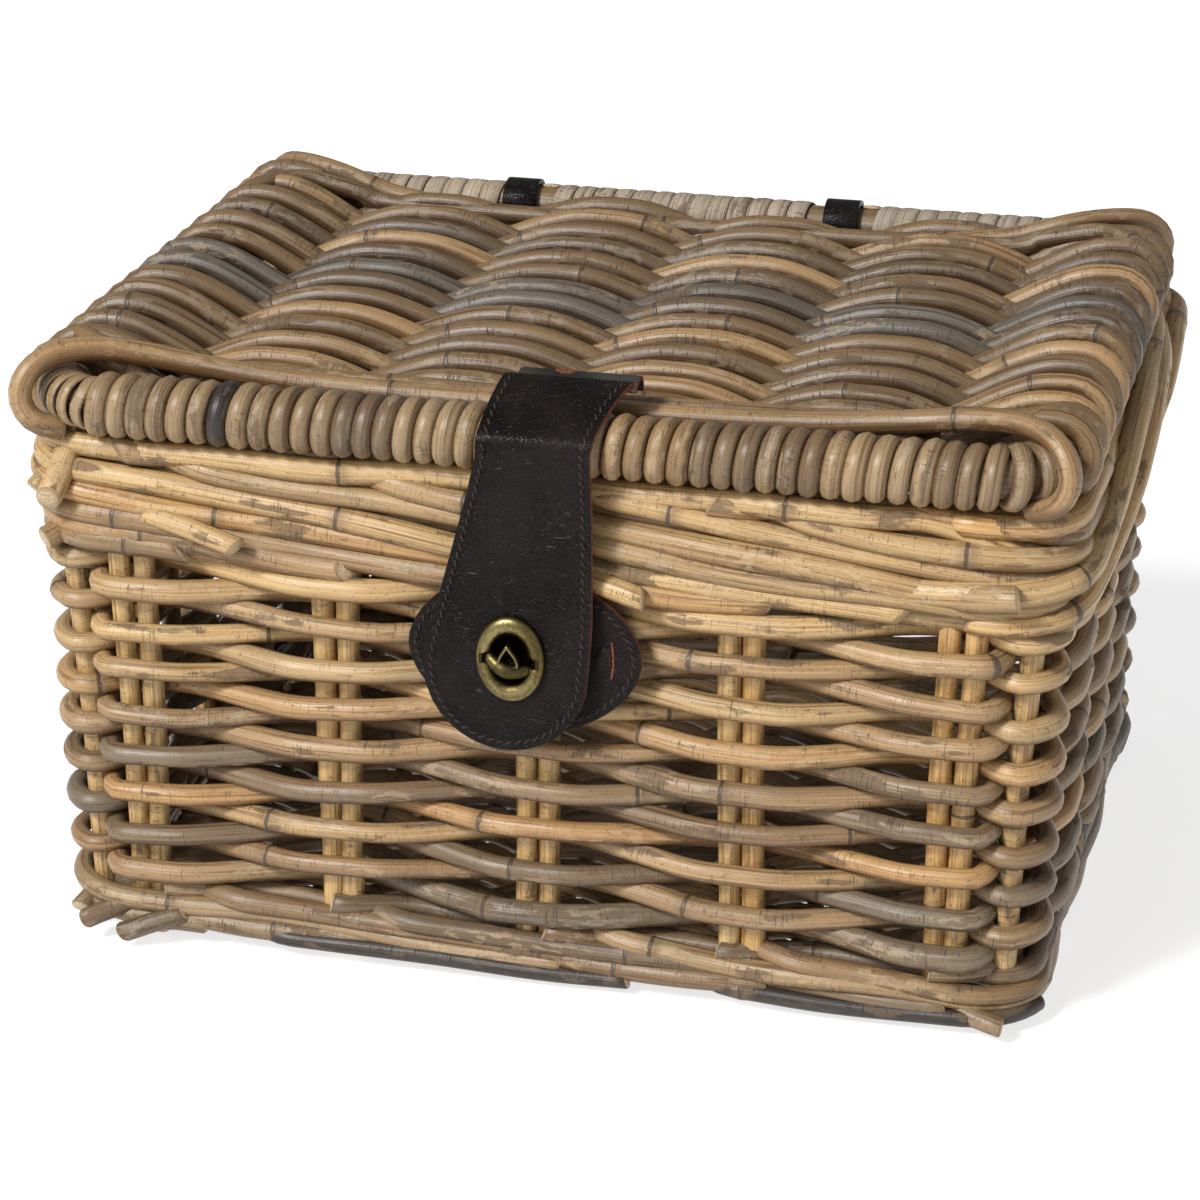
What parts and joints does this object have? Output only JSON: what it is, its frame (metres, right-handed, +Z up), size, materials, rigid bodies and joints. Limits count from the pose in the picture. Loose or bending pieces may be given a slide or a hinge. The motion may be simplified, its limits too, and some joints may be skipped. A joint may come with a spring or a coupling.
{
  "type": "woven cane hamper with hinged lid",
  "caption": "Rectangular woven cane hamper with a woven lid on leather hinge loops and a leather strap with a turn-lock",
  "frame": {"origin": "middle of the underside, on the floor", "axes": "+X to the right along the long front, +Y towards the hinge side, +Z up"},
  "size_m": [0.4086, 0.345, 0.2446],
  "materials": {
    "weathered_cane": "weathered round cane, honey to grey-brown, satin skin with cracks and node rings",
    "pale_cane": "straw to honey cane, satin",
    "grey_cane": "grey-brown cane, satin with dark patches",
    "cane_peel": "flat split peel, pale grey, matt",
    "dark_leather": "dark brown grained leather with raw red-brown edges and stitching",
    "antique_brass": "antique brass, rubbed bright on its edges"
  },
  "bodies": {
    "basket": {"back_bottom_border": "grey_cane", "back_stakes_1": "pale_cane", "back_stakes_2": "pale_cane", "back_stakes_3": "pale_cane", "back_stakes_4": "pale_cane", "back_stakes_5": "pale_cane", "back_top_border": "pale_cane", "back_wall": "weathered_cane", "corner_stake_back_left": "pale_cane", "corner_stake_back_right": "pale_cane", "corner_stake_front_left": "pale_cane", "corner_stake_front_right": "pale_cane", "front_bottom_border": "grey_cane", "front_stakes_1": "pale_cane", "front_stakes_2": "pale_cane", "front_stakes_3": "pale_cane", "front_stakes_4": "pale_cane", "front_stakes_5": "pale_cane", "front_top_border": "pale_cane", "front_wall": "weathered_cane", "hinge_loop_left": "dark_leather", "hinge_loop_right": "dark_leather", "latch_patch": "dark_leather", "left_bottom_border": "grey_cane", "left_stakes_1": "pale_cane", "left_stakes_2": "pale_cane", "left_stakes_3": "pale_cane", "left_top_border": "pale_cane", "left_wall": "weathered_cane", "patch_tie_left": "dark_leather", "patch_tie_right": "dark_leather", "right_bottom_border": "grey_cane", "right_stakes_1": "pale_cane", "right_stakes_2": "pale_cane", "right_stakes_3": "pale_cane", "right_top_border": "pale_cane", "right_wall": "weathered_cane", "turn_lock_base": "antique_brass", "woven_base": "weathered_cane"},
    "lid": {"back_rail_peel_left": "cane_peel", "back_rail_peel_middle": "cane_peel", "back_rail_peel_right": "cane_peel", "front_rail_coils": "grey_cane", "lid_back_rail": "grey_cane", "lid_front_rail": "grey_cane", "lid_left_rail": "grey_cane", "lid_left_weaver_turns": "weathered_cane", "lid_right_rail": "grey_cane", "lid_right_weaver_turns": "weathered_cane", "lid_stake_1": "pale_cane", "lid_stake_2": "pale_cane", "lid_stake_3": "pale_cane", "lid_stake_4": "pale_cane", "lid_woven_panel": "weathered_cane"},
    "strap": {"eyelet_ring": "antique_brass", "eyelet_washer": "antique_brass", "strap_flap": "dark_leather", "strap_lining": "dark_leather", "strap_tail": "dark_leather"},
    "knob": {"turn_lock_knob": "antique_brass"}
  },
  "joints": [
    {"name": "lid_hinge", "type": "hinge", "parent": "basket", "child": "lid", "pos_m": [0, 0.16094, 0.22628], "axis": [-1, 0, 0], "range_deg": [0, 115], "deforming": ["eyelet_ring", "eyelet_washer", "strap_flap", "strap_lining", "strap_tail"]},
    {"name": "strap_hinge", "type": "hinge", "parent": "lid", "child": "strap", "pos_m": [0, -0.14356, 0.22628], "axis": [-1, 0, 0], "range_deg": [0, 100], "deforming": ["eyelet_ring", "eyelet_washer", "strap_flap", "strap_lining", "strap_tail"]},
    {"name": "knob_turn", "type": "hinge", "parent": "basket", "child": "knob", "pos_m": [-0.0045, -0.16406, 0.14428], "axis": [0, 1, 0], "range_deg": [0, 90]}
  ]
}
